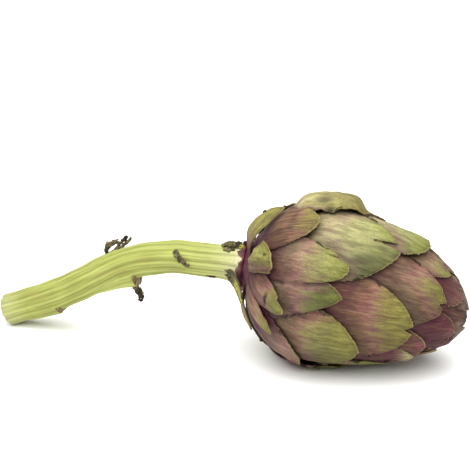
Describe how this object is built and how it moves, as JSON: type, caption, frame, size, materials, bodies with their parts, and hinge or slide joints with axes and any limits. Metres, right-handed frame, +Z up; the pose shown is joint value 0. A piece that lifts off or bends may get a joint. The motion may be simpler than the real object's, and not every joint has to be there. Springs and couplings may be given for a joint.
{
  "type": "artichoke",
  "caption": "Violet artichoke lying on its side: a pointed egg-shaped head of overlapping green and purple bracts on a curved, ribbed cut stem with dry leaf bases.",
  "frame": {"origin": "middle of the small flat spot on the underside of the head, on which the artichoke lies", "axes": "+Z up; +X along the head from the stem towards its tip, as seen from above; -Y is the front"},
  "size_m": [0.2378, 0.0814, 0.0843],
  "materials": {
    "bract": "matte, velvety bloom",
    "stem": "matte, fibrous skin"
  },
  "bodies": {
    "root": {"head": "bract", "stem": "stem"}
  },
  "joints": []
}
